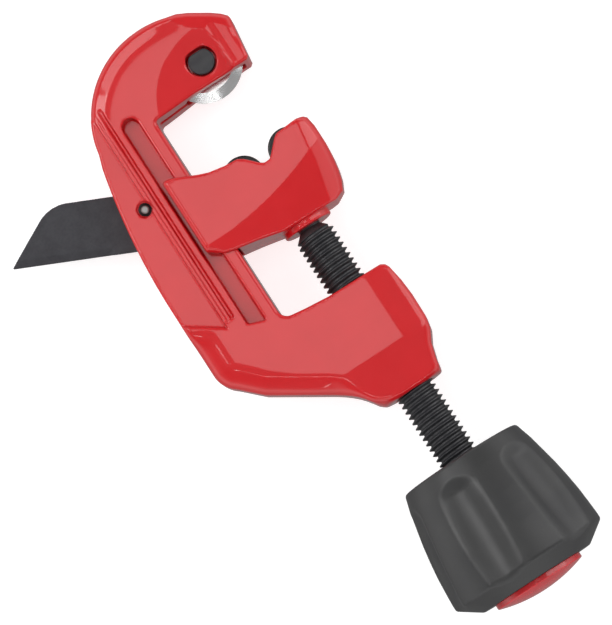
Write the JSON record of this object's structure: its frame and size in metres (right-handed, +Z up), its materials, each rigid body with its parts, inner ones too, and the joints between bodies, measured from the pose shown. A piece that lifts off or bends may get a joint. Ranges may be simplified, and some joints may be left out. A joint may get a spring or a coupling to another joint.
{
  "type": "pipe cutter",
  "caption": "Hand pipe cutter: a C-shaped frame with a cutting wheel, a sliding roller carriage driven by a feed screw with a knob, and a folding deburring blade.",
  "frame": {"origin": "the cutting point: the lowest point of the cutting wheel's edge, on the feed screw's axis and in the tool's mid-plane", "axes": "+Y along the feed screw from the knob towards the crown, +X from the frame's back towards the open throat, +Z up out of the tool's side: the tool lies on its side"},
  "size_m": [0.0858, 0.1646, 0.041],
  "materials": {
    "red_enamel": "glossy fired enamel on die-cast alloy",
    "wheel_steel": "ground and polished hardened steel",
    "black_steel": "black oxide on turned steel",
    "roller_steel": "dark oiled steel",
    "bright_steel": "bright steel",
    "zinc_steel": "zinc plated",
    "blade_steel": "blued spring steel",
    "black_plastic": "matte moulded plastic",
    "red_plastic": "glossy moulded plastic"
  },
  "bodies": {
    "frame_body": {"frame": "red_enamel", "wheel_pin": "black_steel", "wheel_pin_clip": "zinc_steel", "blade_pin": "bright_steel", "blade_spring_washer": "bright_steel"},
    "wheel": {"cutting_wheel": "wheel_steel"},
    "blade": {"blade": "blade_steel"},
    "carriage": {"carriage": "red_enamel", "roller_pin_rail_side": "bright_steel", "roller_pin_open_side": "bright_steel", "thrust_disc": "bright_steel", "screw_keeper_pin": "bright_steel"},
    "roller_rail_side": {"roller_rail_side": "roller_steel"},
    "roller_open_side": {"roller_open_side": "roller_steel"},
    "screw": {"feed_screw": "black_steel", "knob": "black_plastic", "knob_washer": "zinc_steel", "knob_nut": "zinc_steel", "spare_wheel": "wheel_steel"},
    "cap": {"knob_cap": "red_plastic"}
  },
  "joints": [
    {"name": "carriage_slide", "type": "slide", "parent": "frame_body", "child": "carriage", "axis": [0, 1, 0], "range_m": [-0.0165, 0.0154]},
    {"name": "screw_turn", "type": "hinge", "parent": "carriage", "child": "screw", "pos_m": [0, -0.06, 0], "axis": [0, 1, 0], "range_deg": [-3961, 3697]},
    {"name": "wheel_spin", "type": "hinge", "parent": "frame_body", "child": "wheel", "pos_m": [0, 0.0094, 0], "axis": [0, 0, 1], "continuous": true},
    {"name": "rail_roller_spin", "type": "hinge", "parent": "carriage", "child": "roller_rail_side", "pos_m": [-0.0064, -0.01975, 0], "axis": [0, 0, 1], "continuous": true},
    {"name": "open_roller_spin", "type": "hinge", "parent": "carriage", "child": "roller_open_side", "pos_m": [0.0064, -0.01975, 0], "axis": [0, 0, 1], "continuous": true},
    {"name": "blade_fold", "type": "hinge", "parent": "frame_body", "child": "blade", "pos_m": [-0.0305, -0.0133, 0], "axis": [0, 0, 1], "range_deg": [0, 115]},
    {"name": "cap_pull", "type": "slide", "parent": "screw", "child": "cap", "axis": [0, -1, 0], "range_m": [0, 0.03]}
  ],
  "couplings": [
    {"joint": "screw_turn", "follows": "carriage_slide", "rad_per_m": 4188.8}
  ]
}
